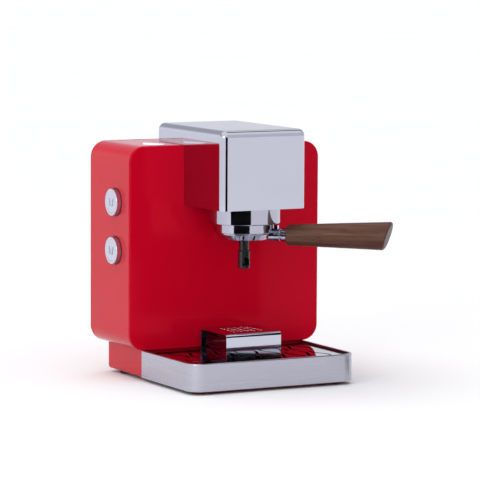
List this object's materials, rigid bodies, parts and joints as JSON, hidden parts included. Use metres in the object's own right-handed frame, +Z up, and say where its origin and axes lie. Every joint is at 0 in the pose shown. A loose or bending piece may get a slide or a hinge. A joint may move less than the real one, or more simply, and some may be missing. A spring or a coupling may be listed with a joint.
{
  "type": "espresso machine",
  "caption": "Compact pump espresso machine with a rounded casing, chrome brewing head, wooden-handled portafilter, slide-out drip tray with cup riser, side push buttons and lift-out tank.",
  "frame": {"origin": "middle of the machine's own footprint, handle included, on the counter under the feet", "axes": "+Z up, -Y towards the user (tray and brewing head), +X to the user's right"},
  "size_m": [0.2806, 0.295, 0.3093],
  "materials": {
    "casing_red": "gloss paint",
    "chrome": "polished",
    "brushed_steel": "brushed",
    "galvanised_steel": "dull",
    "plain_steel": "satin",
    "walnut": "oiled",
    "grey_metal": "satin",
    "cast_aluminium": "cast",
    "brass": "machined",
    "black_plastic": "satin",
    "clear_plastic": "clear",
    "rubber": "matt",
    "silicone": "translucent white",
    "circuit_board": "solder mask"
  },
  "bodies": {
    "machine": {"front_panel": "casing_red", "body_shell": "casing_red", "rear_cover": "casing_red", "rear_screw_1": "plain_steel", "rear_screw_2": "plain_steel", "rear_screw_3": "plain_steel", "rear_screw_4": "plain_steel", "plinth": "casing_red", "base_plate": "casing_red", "foot_1": "rubber", "foot_2": "rubber", "foot_3": "rubber", "foot_4": "rubber", "head_cover": "chrome", "head_floor": "chrome", "head_frame": "galvanised_steel", "group_ring": "chrome", "group_body": "brass", "group_gasket": "rubber", "shower_screen": "plain_steel", "shower_screw": "plain_steel", "boiler_body": "cast_aluminium", "boiler_cap": "brass", "heating_element": "plain_steel", "brew_thermostat": "black_plastic", "thermal_fuse": "black_plastic", "switch_upper": "black_plastic", "switch_lower": "black_plastic", "switch_bracket": "galvanised_steel", "tank_socket": "black_plastic", "tank_shelf": "galvanised_steel", "bay_wall": "galvanised_steel", "pump_coil": "black_plastic", "pump_frame": "galvanised_steel", "pump_tube": "brass", "pump_mount_left": "rubber", "pump_mount_right": "rubber", "pump_bracket": "galvanised_steel", "relief_valve": "brass", "pressure_hose": "silicone", "intake_hose": "silicone", "control_board": "circuit_board", "power_inlet": "black_plastic"},
    "drip_tray": {"tray_fascia": "brushed_steel", "drip_pan": "black_plastic"},
    "lifting_plate": {"drip_plate": "chrome"},
    "lifting_riser": {"cup_riser": "chrome"},
    "portafilter": {"portafilter_body": "chrome", "filter_basket": "plain_steel", "basket_spring": "plain_steel", "spout": "black_plastic", "handle": "walnut", "handle_rod": "plain_steel", "handle_end_cap": "grey_metal"},
    "upper_button": {"button_upper": "chrome"},
    "lower_button": {"button_lower": "chrome"},
    "lifting_tank": {"water_tank": "clear_plastic", "tank_valve": "black_plastic", "lid_pin": "plain_steel"},
    "tank_flap": {"tank_lid": "casing_red"}
  },
  "joints": [
    {"name": "tray_slide", "type": "slide", "parent": "machine", "child": "drip_tray", "axis": [0, -1, 0], "range_m": [0, 0.13]},
    {"name": "plate_lift", "type": "slide", "parent": "drip_tray", "child": "lifting_plate", "axis": [0, 0, 1], "range_m": [0, 0.03]},
    {"name": "riser_lift", "type": "slide", "parent": "lifting_plate", "child": "lifting_riser", "axis": [0, 0, 1], "range_m": [0, 0.045]},
    {"name": "portafilter_turn", "type": "hinge", "parent": "machine", "child": "portafilter", "pos_m": [-0.00382, -0.01546, 0.198], "axis": [0, 0, -1], "range_deg": [0, 60]},
    {"name": "upper_button_press", "type": "slide", "parent": "machine", "child": "upper_button", "axis": [1, 0, 0], "range_m": [0, 0.0025], "stiffness_N_per_m": 300, "springref_m": -0.003},
    {"name": "lower_button_press", "type": "slide", "parent": "machine", "child": "lower_button", "axis": [1, 0, 0], "range_m": [0, 0.0025], "stiffness_N_per_m": 300, "springref_m": -0.003},
    {"name": "tank_lift", "type": "slide", "parent": "machine", "child": "lifting_tank", "axis": [0, 0, 1], "range_m": [0, 0.24]},
    {"name": "lid_turn", "type": "hinge", "parent": "lifting_tank", "child": "tank_flap", "pos_m": [-0.08732, 0.13604, 0.2844], "axis": [-1, 0, 0], "range_deg": [0, 100]}
  ]
}
